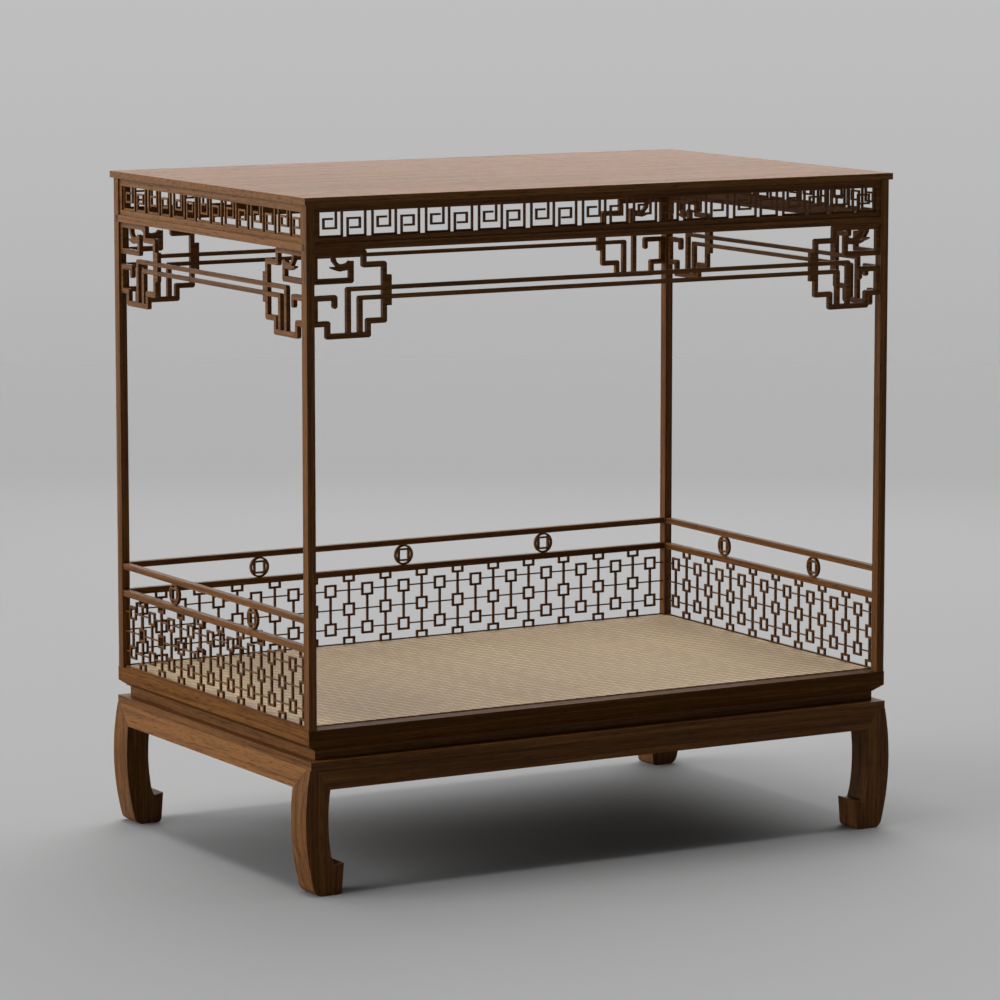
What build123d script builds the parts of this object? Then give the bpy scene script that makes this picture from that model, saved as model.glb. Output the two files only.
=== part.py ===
"""Four-post canopy bed in hardwood, with a waisted platform and a three-sided lattice railing.

Millimetres. +Z is up, X runs along the long side and the open long side faces -Y. The origin is
on the floor, under the middle of the bed. "In" is a distance from the bed frame's outer face
towards the middle of the bed, so a negative value lies outside that face.
"""

import os
from collections import namedtuple
from math import sqrt

from build123d import *

# ---------------------------------------------------------------- overall sizes
frame_length = 2110.0  # outer faces of the bed frame, along X
frame_width = 1332.0  # outer faces of the bed frame, along Y
leg_height = 393.0  # floor to the underside of the ledge strips
post_height = 1597.0  # top of the bed frame to the underside of the roof
fit = 0.15  # clearance on each side of a tenon in its mortise
end_gap = 0.5  # clearance beyond a blind tenon's end

# ---------------------------------------------------------------- legs and aprons
leg_depth = 98.0  # size along Y
leg_in_y = -8.5  # front of a leg, in from the frame's long face
leg_top_in = 0.5  # outer edge under the ledge, in from the frame's short face
leg_belly_in = -16.0  # outer edge where the leg swells most
leg_belly_share = 0.6  # height of the swelling as a share of the leg
foot_in = 17.0  # outer edge at the floor
leg_shoulder_in = 69.0  # inner edge at the apron
leg_knee_in = 61.5  # inner edge where the leg is slimmest
ankle = (71.5, 118.0)  # inner edge where the hoof starts: in, and height
hoof_hollow = (80.0, 90.0)  # bottom of the hollow between ankle and hoof
hoof_tip = (114.0, 97.0)
hoof_sole_in = 106.5  # inner end of the sole on the floor
ankle_radius = 40.0
hollow_radius = 8.0
heel_radius = 30.0
toe_radius = 14.0
apron_height = 65.0
apron_thickness = 24.0
side_apron_in = 22.0  # inner face of the short aprons
mitre_in_x = 26.0  # upper end of the leg's slanted shoulder, long face
mitre_in_y = 17.5  # upper end of the leg's slanted shoulder, short face
apron_tenon = 8.0  # thickness of an apron's tenon
apron_tenon_back = 12.0  # its outer face, from the apron's inner face
apron_tenon_height = 32.0
apron_tenon_rise = 14.0  # its lower edge, above the apron's
apron_tenon_reach = 26.0  # how far it runs past the leg's inner edge
neck_shoulders = (3.5, 3.0)  # steps outside and inside the neck's tenon, along X
neck_tenon_depth = 20.0  # size along Y
neck_tenon_back = 9.5  # step behind the tenon, along Y
neck_tenon_length = 25.0

# ---------------------------------------------------------------- ledge, waist and bed frame
ledge_height = 24.0
ledge_in_x = 2.5
ledge_in_y = -9.6
waist_height = 29.0
waist_in_x = 32.5
waist_in_y = 23.0
waist_thickness = 12.0
waist_groove = 4.0  # depth of the rebate in the ledge that holds the waist
frame_height = 67.0
frame_face_height = 44.5  # upright part of the frame's edge, above its slanted part
frame_rail = 90.0  # width of a frame rail, seen from above
frame_tenon_height = 16.0
frame_tenon_z = 9.0  # height above the frame's underside
frame_tenon_near = 28.0  # its outer edge, in from the short rail's ends
frame_tenon_end_in = 14.0
neck_wall = 8.0  # wood between this tenon and the neck's

# ---------------------------------------------------------------- seat
panel_thickness = 18.0
panel_gap = 1.0  # room for the panel to swell
panel_tongue = 8.0
panel_groove_gap = 1.5
brace_count = 3
brace_width = 40.0
brace_height = 28.0
brace_tenon = (24.0, 14.0, 16.0)  # width, height and length
mat_thickness = 4.0
mat_front_in = 60.0
mat_side_in = 20.0
mat_back_in = 22.5
mat_notch_gap = 1.0

# ---------------------------------------------------------------- posts and roof
post_in = 1.5
post_x = 27.0
post_y = 32.0
post_tenon = 16.0
post_foot_tenon = 28.0
post_head_tenon = 12.0
roof_thickness = 21.0
roof_overhang = 8.0
batten_count = 3
batten_width = 36.0
batten_drop = 14.0
dovetail_depth = 8.0
dovetail_spread = 4.0

# ---------------------------------------------------------------- frieze below the roof
fret_in = 6.5
fret_frame_depth = 20.0
fret_top_rail = 25.0
fret_opening = 77.0
fret_bottom_rail = 17.0
fret_stile = 16.0
fret_bar = 6.2
fret_bar_depth = 7.0
fret_bar_in = 13.0
fret_peg = (20.0, 8.0, 6.0)  # height, thickness and length
lower_rail_height = 22.0
lower_rail_depth_long = 30.0
lower_rail_depth_short = 25.0
through_tenon_cover = 12.5  # post wood in front of the long rails' through tenon
stub_tenon = (12.0, 3.5)  # thickness and length, on the short rails
stub_shoulder = 4.0
tenon_wall = 1.0  # wood left where two tenons pass inside a post
long_fret_cell = 80.0  # spacing of the three uprights in one unit
short_fret_cell = 77.0
fret_unit_gap = 25.0  # from the last upright of a unit to the first of the next
hook_top = 0.28  # top of a hook, as a share of the opening below its upper edge
hook_bottom = 0.355  # bottom of a hook, as a share of the opening above its lower edge
hook_back = 0.25  # upright of a hook, as shares of the cell
hook_front = 0.22
hook_tip = 0.575
rising_hook_front = 0.23
rising_hook_tip = 0.61

# ---------------------------------------------------------------- brackets and twin rods
bracket_in = 8.5
bracket_depth = 14.0
bracket_upright = 15.0
bracket_level = 16.8
bracket_drop_bar = 13.2  # level bars that lead to the rods
bracket_bevel = 5.5
bracket_width = 251.5  # outer edge of the scroll work, from the post
bracket_drop = 268.0
bracket_foot_in = 50.0  # near side of the foot, from the post
bracket_foot_out = 55.5  # far side of the foot, back from the outer bar
bracket_top_out = 69.5  # end of the top bar, back from the outer bar
bracket_steps = (38.8, 41.4)  # rise of the steps beside the foot, near and far
bracket_head_drop = 47.8  # drop of the outer part below the rail
bracket_gap = (93.0, 143.4)  # rows between which the bar along the post is left out
bracket_nook = (130.5, 57.0)  # end of the bar under the dragon's head
bracket_hook = (74.5, 168.0)  # end of the small hook by the post
drop_spacing = (68.0, 28.0)  # the two bars that turn down from the rods, from the foot's far side
bracket_peg = (16.0, 6.0, 6.0)  # height, thickness and length, into the post
bracket_peg_drop = 50.0
head_peg = (16.0, 6.0, 8.0)  # width, thickness and height, into the lower rail
head_peg_away = 90.0
rod_size = 13.0
rod_drops = (119.5, 147.5)  # centres below the lower rail
rod_tenon = (6.0, 6.0)  # thickness and length
rod_block = (16.5, 93.0)
rod_block_drop = 127.5
rod_block_lap = 2.0

# ---------------------------------------------------------------- railing
railing_rail_depth = 21.0
lattice_rail_z = 236.0  # underside of the rail over the lattice, above the bed frame
lattice_rail_height = 20.0
medallion_size = 69.0  # across the ring, and between the two rails
top_rail_height = 18.5
railing_tenon = (10.0, 10.0)  # thickness, and length in the back railing
railing_shoulder = 3.0
lattice_depth = 7.0
lattice_square = 44.0
lattice_bar = 7.0
lattice_thin_bar = 4.0
lattice_pitch = 139.4
lattice_row = 65.0  # rows of squares above and below the middle
lattice_sill = 7.0
sill_tenon = (4.0, 5.0)  # thickness and length
sill_shoulders = (1.5, 1.0)
side_lattice_start = 85.0  # first column from the back face of the bed frame
medallion_ring = 6.3
medallion_corner_in = 4.09  # corner of the square, in from the ring's outer edge
medallion_bar = 6.0
medallion_depth = 10.0
medallion_peg = (6.0, 4.0)
back_medallions = (-545.0, 0.0, 545.0)
side_medallions = (-272.0, 272.0)

# ---------------------------------------------------------------- derived places
half_length = frame_length / 2
half_width = frame_width / 2
ledge_top = leg_height + ledge_height
frame_bottom = ledge_top + waist_height
frame_top = frame_bottom + frame_height
roof_bottom = frame_top + post_height
fret_top = roof_bottom - fret_top_rail
fret_bottom = fret_top - fret_opening
lower_rail_top = fret_bottom - fret_bottom_rail
lower_rail_bottom = lower_rail_top - lower_rail_height
top_rail_z = lattice_rail_z + lattice_rail_height + medallion_size
medallion_radius = medallion_size / 2
side_railing_in = post_in + post_x / 2
back_railing_in = post_in + post_y / 2
apron_bottom = leg_height - apron_height

Side = namedtuple("Side", "length plane post_face railing_in lower_rail_depth")
sides = {
    "front": Side(
        frame_length,
        Plane(origin=(-half_length, -half_width, 0), x_dir=(1, 0, 0), z_dir=(0, -1, 0)),
        post_in + post_x,
        back_railing_in,
        lower_rail_depth_long,
    ),
    "right": Side(
        frame_width,
        Plane(origin=(half_length, -half_width, 0), x_dir=(0, 1, 0), z_dir=(1, 0, 0)),
        post_in + post_y,
        side_railing_in,
        lower_rail_depth_short,
    ),
    "back": Side(
        frame_length,
        Plane(origin=(half_length, half_width, 0), x_dir=(-1, 0, 0), z_dir=(0, 1, 0)),
        post_in + post_x,
        back_railing_in,
        lower_rail_depth_long,
    ),
    "left": Side(
        frame_width,
        Plane(origin=(-half_length, half_width, 0), x_dir=(0, -1, 0), z_dir=(-1, 0, 0)),
        post_in + post_y,
        side_railing_in,
        lower_rail_depth_short,
    ),
}
long_sides = ("front", "back")

Tenon = namedtuple("Tenon", "low high near far length")


def save(builder, label):
    """Name a finished piece and write it."""
    builder.part.label = label
    export_step(builder.part, f"parts/{label}.step")


def side_box(side, start, end, low, high, near, far, mode=Mode.ADD):
    """Block on one side of the bed: start and end along it, low and high above the floor."""
    with BuildSketch(sides[side].plane.offset(-near)) as outline:
        with Locations(((start + end) / 2, (low + high) / 2)):
            Rectangle(end - start, high - low)
    extrude(outline.sketch, amount=near - far, mode=mode)


def centred(middle, size):
    """A range of one size about its middle."""
    return (middle - size / 2, middle + size / 2)


def grown(span, amount=fit):
    """A range widened at both ends."""
    return (span[0] - amount, span[1] + amount)


def post_tenons(side):
    """The tenons that enter a post from one side, by the piece that carries each."""
    post_back = post_in + post_y
    found = {
        "fret": Tenon(
            *centred((fret_top + fret_bottom) / 2, fret_peg[0]),
            *centred(fret_in + fret_frame_depth / 2, fret_peg[1]),
            fret_peg[2],
        ),
        "bracket": Tenon(
            *centred(lower_rail_bottom - bracket_peg_drop, bracket_peg[0]),
            *centred(bracket_in + bracket_depth / 2, bracket_peg[1]),
            bracket_peg[2],
        ),
    }
    if side in long_sides:
        found["lower_rail"] = Tenon(
            lower_rail_bottom,
            lower_rail_top,
            post_in + through_tenon_cover,
            post_back - stub_tenon[1] - tenon_wall,
            post_x,
        )
    else:
        found["lower_rail"] = Tenon(
            *grown((lower_rail_bottom, lower_rail_top), -stub_shoulder),
            *centred(post_in + lower_rail_depth_short / 2, stub_tenon[0]),
            stub_tenon[1],
        )
    if side != "front":
        middle = sides[side].railing_in
        length = railing_tenon[1]
        if side != "back":
            length = post_back - back_railing_in - railing_tenon[0] / 2 - tenon_wall
        for name, low, height in (
            ("top_rail", frame_top + top_rail_z, top_rail_height),
            ("lattice_rail", frame_top + lattice_rail_z, lattice_rail_height),
        ):
            found[name] = Tenon(
                *grown((low, low + height), -railing_shoulder),
                *centred(middle, railing_tenon[0]),
                length,
            )
        found["lattice"] = Tenon(
            frame_top + sill_shoulders[0],
            frame_top + lattice_sill - sill_shoulders[1],
            *centred(middle, sill_tenon[0]),
            sill_tenon[1],
        )
    return found


def add_tenons(side, name, ends=("start", "end")):
    """Tenons of a piece that spans the bay between two posts."""
    tenon = post_tenons(side)[name]
    length = sides[side].length
    face = sides[side].post_face
    for end in ends:
        place = (face - tenon.length, face)
        if end == "end":
            place = (length - face, length - face + tenon.length)
        side_box(side, *place, tenon.low, tenon.high, tenon.near, tenon.far)


def cut_mortises(side, end):
    """Mortises in the post at one end of a side, each a little wider than its tenon."""
    length = sides[side].length
    face = sides[side].post_face
    for tenon in post_tenons(side).values():
        depth = tenon.length + end_gap
        place = (face - depth, face)
        if end == "end":
            place = (length - face, length - face + depth)
        heights = grown((tenon.low, tenon.high))
        side_box(side, *place, *heights, *grown((tenon.near, tenon.far)), mode=Mode.SUBTRACT)


def corner_box(x_in, y_in, low, high, mode=Mode.ADD):
    """Block at the front left corner, from ranges in from the short and the long face."""
    x_mid = -half_length + sum(x_in) / 2
    y_mid = -half_width + sum(y_in) / 2
    with Locations((x_mid, y_mid, (low + high) / 2)):
        Box(x_in[1] - x_in[0], y_in[1] - y_in[0], high - low, mode=mode)


def copies_at_corners(builder, name):
    """Save a front left piece and its three mirror images."""
    save(builder, f"{name}_front_left")
    with BuildPart() as right:
        mirror(builder.part, about=Plane.YZ)
    save(right, f"{name}_front_right")
    with BuildPart() as back:
        mirror(builder.part, about=Plane.XZ)
    save(back, f"{name}_back_left")
    with BuildPart() as far:
        mirror(back.part, about=Plane.YZ)
    save(far, f"{name}_back_right")


def mitred_outline(side, outer_in, inner_in):
    """Plan of a strip on one side of a mitred ring; each pair is in from short and long faces."""
    outer = (half_length - outer_in[0], half_width - outer_in[1])
    inner = (half_length - inner_in[0], half_width - inner_in[1])
    if side in long_sides:
        sign = -1 if side == "front" else 1
        corners = [
            (-outer[0], sign * outer[1]),
            (outer[0], sign * outer[1]),
            (inner[0], sign * inner[1]),
            (-inner[0], sign * inner[1]),
        ]
    else:
        sign = -1 if side == "left" else 1
        corners = [
            (sign * outer[0], -outer[1]),
            (sign * outer[0], outer[1]),
            (sign * inner[0], inner[1]),
            (sign * inner[0], -inner[1]),
        ]
    Polygon(*corners)


def stroke(points, upright, level, bevel=0.0):
    """Bar with square turns along a path of upright and level runs, its corners bevelled."""
    for (x0, y0), (x1, y1) in zip(points, points[1:]):
        half_x = (abs(x1 - x0) + upright) / 2
        half_y = (abs(y1 - y0) + level) / 2
        with Locations(((x0 + x1) / 2, (y0 + y1) / 2)):
            if bevel:
                cut_x, cut_y = half_x - bevel, half_y - bevel
                Polygon(
                    (-half_x, -cut_y),
                    (-cut_x, -half_y),
                    (cut_x, -half_y),
                    (half_x, -cut_y),
                    (half_x, cut_y),
                    (cut_x, half_y),
                    (-cut_x, half_y),
                    (-half_x, cut_y),
                )
            else:
                Rectangle(2 * half_x, 2 * half_y)


os.makedirs("parts", exist_ok=True)

# ---------------------------------------------------------------- legs
# Outline of a leg seen from the front: a swelling outer edge, a slim knee and a horse-hoof foot
# that turns in along the long side.
with BuildSketch(Plane.XZ) as leg_outline:
    with BuildLine(Plane.XZ.shift_origin((-half_length, 0, 0))):
        ThreePointArc(
            (leg_top_in, leg_height),
            (leg_belly_in, leg_belly_share * leg_height),
            (foot_in, 0),
        )
        Polyline((foot_in, 0), (hoof_sole_in, 0), hoof_tip, hoof_hollow, ankle)
        ThreePointArc(
            ankle,
            (leg_knee_in, (ankle[1] + apron_bottom) / 2),
            (leg_shoulder_in, apron_bottom),
        )
        Polyline(
            (leg_shoulder_in, apron_bottom),
            (leg_shoulder_in, leg_height),
            (leg_top_in, leg_height),
        )
    make_face()

leg_y = (leg_in_y, leg_in_y + leg_depth)
waist_back_x = waist_in_x + waist_thickness
waist_back_y = waist_in_y + waist_thickness
neck_x = (waist_back_x, leg_shoulder_in)
neck_y = (waist_back_y, leg_y[1])
neck_tenon_x = (neck_x[0] + neck_shoulders[0], neck_x[1] - neck_shoulders[1])
neck_tenon_y = (neck_y[1] - neck_tenon_back - neck_tenon_depth, neck_y[1] - neck_tenon_back)
apron_tenon_low = apron_bottom + apron_tenon_rise
apron_tenon_high = apron_tenon_low + apron_tenon_height
long_apron_y = (leg_in_y, leg_in_y + apron_thickness)
long_tenon_in = tuple(
    long_apron_y[1] - apron_tenon_back + extra for extra in (0, apron_tenon)
)
short_tenon_in = tuple(side_apron_in - apron_tenon_back + extra for extra in (0, apron_tenon))


def mitre_wedge(side, end, slant_in, shoulder_in, near, far, mode):
    """Three-cornered end of an apron, between the leg's inner edge and its slanted shoulder."""
    length = sides[side].length
    corners = [(shoulder_in, apron_bottom), (shoulder_in, leg_height), (slant_in, leg_height)]
    if end == "end":
        corners = [(length - along, z) for along, z in corners]
    with BuildSketch(sides[side].plane.offset(-near)) as outline:
        Polygon(*corners)
    extrude(outline.sketch, amount=near - far, mode=mode)


with BuildPart() as leg:
    with BuildSketch(Plane.XZ.offset(half_width - leg_y[0])):
        add(leg_outline.sketch)
    extrude(amount=-leg_depth)
    for (edge_in, edge_z), radius in (
        ((foot_in, 0), heel_radius),
        ((hoof_sole_in, 0), toe_radius),
        (hoof_hollow, hollow_radius),
        (ankle, ankle_radius),
    ):
        place = (edge_in - half_length, leg_y[0] - half_width, edge_z)
        fillet(leg.edges().filter_by(Axis.Y).sort_by_distance(place)[0], radius)
    corner_box(neck_x, neck_y, leg_height, frame_bottom)
    corner_box(neck_tenon_x, neck_tenon_y, frame_bottom, frame_bottom + neck_tenon_length)
    mitre_wedge("front", "start", mitre_in_x, leg_shoulder_in, *long_apron_y, Mode.SUBTRACT)
    mitre_wedge("left", "end", mitre_in_y, leg_y[1], leg_belly_in, side_apron_in, Mode.SUBTRACT)
    tenon_z = grown((apron_tenon_low, apron_tenon_high))
    corner_box(
        (leg_shoulder_in - apron_tenon_reach - end_gap, leg_shoulder_in),
        grown(long_tenon_in),
        *tenon_z,
        mode=Mode.SUBTRACT,
    )
    corner_box(
        grown(short_tenon_in),
        (leg_y[1] - apron_tenon_reach - end_gap, leg_y[1]),
        *tenon_z,
        mode=Mode.SUBTRACT,
    )
copies_at_corners(leg, "leg")

# ---------------------------------------------------------------- aprons
for side in long_sides:
    with BuildPart() as apron:
        length = frame_length
        side_box(
            side, leg_shoulder_in, length - leg_shoulder_in, apron_bottom, leg_height, *long_apron_y
        )
        for end in ("start", "end"):
            mitre_wedge(side, end, mitre_in_x, leg_shoulder_in, *long_apron_y, Mode.ADD)
        tenon_start = leg_shoulder_in - apron_tenon_reach
        side_box(
            side,
            tenon_start,
            length - tenon_start,
            apron_tenon_low,
            apron_tenon_high,
            *long_tenon_in,
        )
    save(apron, f"apron_{side}")

with BuildPart() as left_apron:
    # the section follows the legs' swelling outer edge
    with BuildSketch(Plane.XZ.offset(half_width - mitre_in_y)):
        add(leg_outline.sketch)
        middle_in = (side_apron_in + leg_belly_in) / 2
        with Locations((-half_length + middle_in, (apron_bottom + leg_height) / 2)):
            Rectangle(side_apron_in - leg_belly_in, apron_height, mode=Mode.INTERSECT)
    extrude(amount=-(frame_width - 2 * mitre_in_y))
    with BuildSketch(sides["left"].plane.offset(-leg_belly_in)):
        Polygon(
            (leg_y[1], apron_bottom),
            (frame_width - leg_y[1], apron_bottom),
            (frame_width - mitre_in_y, leg_height),
            (mitre_in_y, leg_height),
        )
    extrude(amount=leg_belly_in - side_apron_in, mode=Mode.INTERSECT)
    tenon_start = leg_y[1] - apron_tenon_reach
    side_box(
        "left",
        tenon_start,
        frame_width - tenon_start,
        apron_tenon_low,
        apron_tenon_high,
        *short_tenon_in,
    )
save(left_apron, "apron_left")
with BuildPart() as right_apron:
    mirror(left_apron.part, about=Plane.YZ)
save(right_apron, "apron_right")

# ---------------------------------------------------------------- ledge and waist strips
ledge_outer = (ledge_in_x, ledge_in_y)
waist_outer = (waist_in_x, waist_in_y)
waist_inner = (waist_back_x, waist_back_y)
for side in sides:
    with BuildPart() as ledge:
        with BuildSketch(Plane.XY.offset(leg_height)):
            mitred_outline(side, ledge_outer, waist_inner)
        extrude(amount=ledge_height)
        # the waist strips stand in a rebate along the inner edge
        with BuildSketch(Plane.XY.offset(ledge_top - waist_groove)):
            Rectangle(frame_length - 2 * waist_in_x, frame_width - 2 * waist_in_y)
        extrude(amount=waist_groove, mode=Mode.SUBTRACT)
    save(ledge, f"ledge_{side}")
    with BuildPart() as waist:
        with BuildSketch(Plane.XY.offset(ledge_top - waist_groove)):
            mitred_outline(side, waist_outer, waist_inner)
        extrude(amount=waist_groove + waist_height)
    save(waist, f"waist_{side}")

# ---------------------------------------------------------------- bed frame
opening_x = frame_length - 2 * frame_rail
opening_y = frame_width - 2 * frame_rail
tongue_low = frame_top - panel_thickness + (panel_thickness - panel_tongue) / 2
brace_top = frame_top - panel_thickness
brace_xs = [opening_x * ((i + 1) / (brace_count + 1) - 0.5) for i in range(brace_count)]
frame_tenon_in = (frame_tenon_near, neck_tenon_y[0] - neck_wall)
frame_tenon_low = frame_bottom + frame_tenon_z
frame_tenon_high = frame_tenon_low + frame_tenon_height
post_tenon_x = (
    post_in + (post_x - post_tenon) / 2,
    post_in + (post_x + post_tenon) / 2,
)
post_tenon_y = (
    post_in + (post_y - post_tenon) / 2,
    post_in + (post_y + post_tenon) / 2,
)

with BuildPart() as frame_ring:
    with BuildSketch(Plane.XY.offset(frame_bottom)):
        Rectangle(frame_length - 2 * waist_in_x, frame_width - 2 * waist_in_y)
    with BuildSketch(Plane.XY.offset(frame_top - frame_face_height)):
        Rectangle(frame_length, frame_width)
    loft()
    with BuildSketch(Plane.XY.offset(frame_top - frame_face_height)):
        Rectangle(frame_length, frame_width)
    extrude(amount=frame_face_height)
    with BuildSketch(Plane.XY.offset(frame_bottom)):
        Rectangle(opening_x, opening_y)
    extrude(amount=frame_height, mode=Mode.SUBTRACT)
    # groove for the seat panel's tongue
    with BuildSketch(Plane.XY.offset(tongue_low - fit)):
        groove = 2 * (panel_tongue + panel_groove_gap)
        Rectangle(opening_x + groove, opening_y + groove)
    extrude(amount=panel_tongue + 2 * fit, mode=Mode.SUBTRACT)
    # mortises for the posts above and the legs' necks below
    for x_sign in (-1, 1):
        for y_sign in (-1, 1):
            for x_in, y_in, low, high in (
                (post_tenon_x, post_tenon_y, frame_top - post_foot_tenon - end_gap, frame_top),
                (
                    neck_tenon_x,
                    neck_tenon_y,
                    frame_bottom,
                    frame_bottom + neck_tenon_length + end_gap,
                ),
            ):
                x_mid = x_sign * (half_length - sum(x_in) / 2)
                y_mid = y_sign * (half_width - sum(y_in) / 2)
                with Locations((x_mid, y_mid, (low + high) / 2)):
                    Box(
                        x_in[1] - x_in[0] + 2 * fit,
                        y_in[1] - y_in[0] + 2 * fit,
                        high - low,
                        mode=Mode.SUBTRACT,
                    )


def brace_tenon_boxes(side, extra, mode):
    """Ends of the braces in the long rails, or the mortises that take them."""
    width, height, length = brace_tenon
    middle = brace_top - brace_height / 2
    for brace_x in brace_xs:
        along = half_length + brace_x
        side_box(
            side,
            along - width / 2 - extra,
            along + width / 2 + extra,
            middle - height / 2 - extra,
            middle + height / 2 + extra,
            frame_rail - length - (end_gap if extra else 0),
            frame_rail,
            mode=mode,
        )


for side in sides:
    with BuildPart() as frame_piece:
        add(frame_ring.part)
        with BuildSketch(Plane.XY.offset(frame_bottom)):
            mitred_outline(side, (0, 0), (frame_rail, frame_rail))
        extrude(amount=frame_height, mode=Mode.INTERSECT)
        reach = frame_tenon_in
        if side in long_sides:
            # a tenon beyond each mitre enters the short rail
            for start, end in (
                (frame_tenon_end_in, frame_rail),
                (frame_length - frame_rail, frame_length - frame_tenon_end_in),
            ):
                side_box(side, start, end, frame_tenon_low, frame_tenon_high, *reach)
            brace_tenon_boxes(side, fit, Mode.SUBTRACT)
        else:
            slot = grown((frame_tenon_low, frame_tenon_high))
            end_in = frame_tenon_end_in - end_gap
            for start, end in (
                grown(reach),
                (frame_width - reach[1] - fit, frame_width - reach[0] + fit),
            ):
                side_box(side, start, end, *slot, end_in, frame_rail, mode=Mode.SUBTRACT)
    save(frame_piece, f"frame_rail_{side}")

# ---------------------------------------------------------------- seat panel, braces and mat
with BuildPart() as seat_panel:
    with BuildSketch(Plane.XY.offset(brace_top)):
        Rectangle(opening_x - 2 * panel_gap, opening_y - 2 * panel_gap)
    extrude(amount=panel_thickness)
    with BuildSketch(Plane.XY.offset(tongue_low)):
        Rectangle(opening_x + 2 * panel_tongue, opening_y + 2 * panel_tongue)
    extrude(amount=panel_tongue)
save(seat_panel, "seat_panel")

with BuildPart() as seat_braces:
    with Locations([(brace_x, 0, brace_top - brace_height / 2) for brace_x in brace_xs]):
        Box(brace_width, opening_y, brace_height)
    for side in long_sides:
        brace_tenon_boxes(side, 0, Mode.ADD)
save(seat_braces, "seat_braces")

with BuildPart() as sleeping_mat:
    with BuildSketch(Plane.XY.offset(frame_top)):
        mat_depth = frame_width - mat_front_in - mat_back_in
        with Locations((0, (mat_front_in - mat_back_in) / 2)):
            Rectangle(frame_length - 2 * mat_side_in, mat_depth)
        # the back corners are cut out round the posts
        notch_x = post_in + post_x + mat_notch_gap
        notch_y = post_in + post_y + mat_notch_gap
        for x_sign in (-1, 1):
            with Locations((x_sign * half_length, half_width)):
                Rectangle(2 * notch_x, 2 * notch_y, mode=Mode.SUBTRACT)
    extrude(amount=mat_thickness)
save(sleeping_mat, "sleeping_mat")

# ---------------------------------------------------------------- posts
corners = {
    "front_left": ("left", "front", -1, -1),
    "front_right": ("front", "right", 1, -1),
    "back_right": ("right", "back", 1, 1),
    "back_left": ("back", "left", -1, 1),
}
for corner, (side_before, side_after, x_sign, y_sign) in corners.items():
    with BuildPart() as post:
        x_mid = x_sign * (half_length - post_in - post_x / 2)
        y_mid = y_sign * (half_width - post_in - post_y / 2)
        with Locations((x_mid, y_mid, frame_top + post_height / 2)):
            Box(post_x, post_y, post_height)
        tenon_low = frame_top - post_foot_tenon
        tenon_high = roof_bottom + post_head_tenon
        with Locations((x_mid, y_mid, (tenon_low + tenon_high) / 2)):
            Box(post_tenon, post_tenon, tenon_high - tenon_low)
        cut_mortises(side_before, "end")
        cut_mortises(side_after, "start")
    save(post, f"post_{corner}")

# ---------------------------------------------------------------- roof
batten_xs = [frame_length * ((i + 1) / (batten_count + 1) - 0.5) for i in range(batten_count)]
batten_length = frame_width - 2 * (fret_in + fret_frame_depth) - 2 * fit


def dovetail(spread, depth):
    """Tapered tongue of a batten, wider towards the top of the roof board."""
    half = batten_width / 2
    with BuildSketch(Plane.XZ.offset(-batten_length / 2)) as tongues:
        with Locations([(batten_x, roof_bottom) for batten_x in batten_xs]):
            Polygon((-half, 0), (half, 0), (half + spread, depth), (-half - spread, depth))
    return tongues.sketch


with BuildPart() as roof_board:
    with Locations((0, 0, roof_bottom + roof_thickness / 2)):
        Box(
            frame_length + 2 * roof_overhang, frame_width + 2 * roof_overhang, roof_thickness
        )
    tongues = dovetail(dovetail_spread, dovetail_depth)
    extrude(tongues, amount=batten_length, mode=Mode.SUBTRACT)
    for _, _, x_sign, y_sign in corners.values():
        x_mid = x_sign * (half_length - post_in - post_x / 2)
        y_mid = y_sign * (half_width - post_in - post_y / 2)
        mortise = post_head_tenon + end_gap
        with Locations((x_mid, y_mid, roof_bottom + mortise / 2)):
            Box(post_tenon + 2 * fit, post_tenon + 2 * fit, mortise, mode=Mode.SUBTRACT)
save(roof_board, "roof_board")

with BuildPart() as roof_battens:
    extrude(tongues, amount=batten_length)
    with Locations([(batten_x, 0, roof_bottom - batten_drop / 2) for batten_x in batten_xs]):
        Box(batten_width, batten_length, batten_drop)
save(roof_battens, "roof_battens")

# ---------------------------------------------------------------- lower rails
for side, place in sides.items():
    with BuildPart() as lower_rail:
        side_box(
            side,
            place.post_face,
            place.length - place.post_face,
            lower_rail_bottom,
            lower_rail_top,
            post_in,
            post_in + place.lower_rail_depth,
        )
        add_tenons(side, "lower_rail")
        # sockets for the pegs on the brackets' top bars
        for hand in (1, -1):
            away = place.length / 2 - place.post_face - head_peg_away
            side_box(
                side,
                *grown(centred(place.length / 2 - hand * away, head_peg[0])),
                lower_rail_bottom,
                lower_rail_bottom + head_peg[2] + end_gap,
                *grown(centred(bracket_in + bracket_depth / 2, head_peg[1])),
                mode=Mode.SUBTRACT,
            )
    save(lower_rail, f"lower_rail_{side}")


# ---------------------------------------------------------------- fret panels
def meander_unit(cell):
    """One unit of the key pattern: three uprights with a hook in each of the two cells.

    The left hook hangs from the top rail and the right hook rises from the bottom rail.
    """
    foot = fret_bottom + fret_bar / 2
    stroke([(0, fret_top), (0, foot), (cell, foot), (cell, fret_top)], fret_bar, fret_bar)
    upper = fret_top - hook_top * fret_opening
    lower = fret_bottom + hook_bottom * fret_opening
    stroke(
        [
            (cell - hook_back * cell, fret_top),
            (cell - hook_back * cell, lower),
            (hook_front * cell, lower),
            (hook_front * cell, upper),
            (hook_tip * cell, upper),
        ],
        fret_bar,
        fret_bar,
    )
    last = 2 * cell
    stroke(
        [
            (last, fret_top),
            (last, foot),
            (cell + hook_back * cell, foot),
            (cell + hook_back * cell, upper),
            (last - rising_hook_front * cell, upper),
            (last - rising_hook_front * cell, lower),
            (last - rising_hook_tip * cell, lower),
        ],
        fret_bar,
        fret_bar,
    )


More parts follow.
